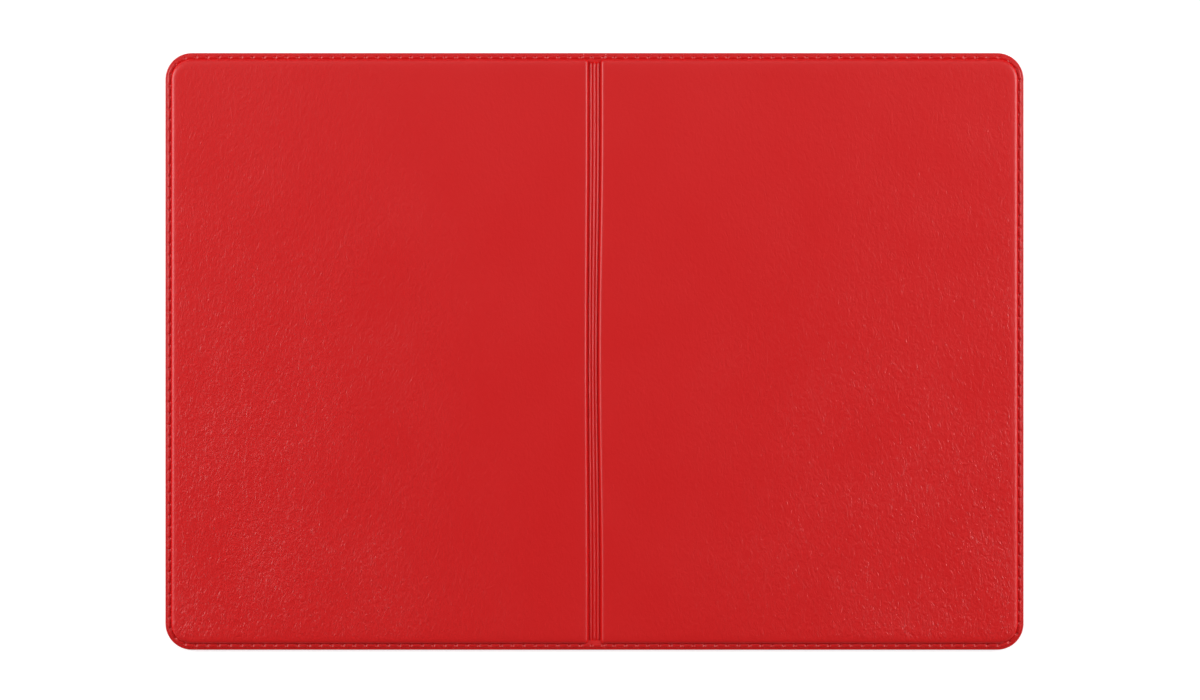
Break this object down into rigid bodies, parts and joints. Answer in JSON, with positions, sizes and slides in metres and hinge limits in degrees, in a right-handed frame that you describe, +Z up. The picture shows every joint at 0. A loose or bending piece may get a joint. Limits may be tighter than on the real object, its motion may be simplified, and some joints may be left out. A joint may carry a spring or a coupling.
{
  "type": "passport holder wallet",
  "caption": "Welded soft vinyl passport cover, opened flat with its grained outside up: board-stiffened covers, ribbed folding spine, stitch-look border, clear inner pockets.",
  "frame": {"origin": "centre of the opened cover on the table it lies on, at the foot of the spine", "axes": "+X across the opened cover towards the front cover, +Y along the spine to the top edge, +Z up, out of the grained outside"},
  "size_m": [0.195, 0.1356, 0.0021],
  "materials": {
    "grained_vinyl": "soft vinyl embossed with a fine leather grain, satin",
    "welded_vinyl": "heat-welded vinyl with a moulded stitch-look bead, satin",
    "lining_vinyl": "smooth matt vinyl",
    "stiffener_board": "plain grey board",
    "clear_film": "clear flexible vinyl film, glossy"
  },
  "bodies": {
    "front_cover": {"front_cover_skin": "grained_vinyl", "front_edge_weld": "welded_vinyl", "front_board": "stiffener_board", "front_lining": "lining_vinyl", "front_passport_pocket": "clear_film", "front_card_pocket": "clear_film"},
    "rib_1": {"spine_rib_1": "grained_vinyl"},
    "rib_2": {"spine_rib_2": "grained_vinyl"},
    "rib_3": {"spine_rib_3": "grained_vinyl"},
    "back_cover": {"back_cover_skin": "grained_vinyl", "back_edge_weld": "welded_vinyl", "back_board": "stiffener_board", "back_lining": "lining_vinyl", "back_passport_pocket": "clear_film", "back_card_pocket": "clear_film"}
  },
  "joints": [
    {"name": "spine_fold", "type": "hinge", "parent": "front_cover", "child": "back_cover", "pos_m": [0, 0, 0.00045], "axis": [0, -1, 0], "range_deg": [-60, 178]},
    {"name": "rib_1_turn", "type": "hinge", "parent": "front_cover", "child": "rib_1", "pos_m": [0, 0, 0.00045], "axis": [0, -1, 0], "range_deg": [-15, 44.5]},
    {"name": "rib_2_turn", "type": "hinge", "parent": "front_cover", "child": "rib_2", "pos_m": [0, 0, 0.00045], "axis": [0, -1, 0], "range_deg": [-30, 89]},
    {"name": "rib_3_turn", "type": "hinge", "parent": "front_cover", "child": "rib_3", "pos_m": [0, 0, 0.00045], "axis": [0, -1, 0], "range_deg": [-45, 133.5]}
  ],
  "couplings": [
    {"joint": "rib_1_turn", "follows": "spine_fold", "ratio": 0.25},
    {"joint": "rib_2_turn", "follows": "spine_fold", "ratio": 0.5},
    {"joint": "rib_3_turn", "follows": "spine_fold", "ratio": 0.75}
  ]
}
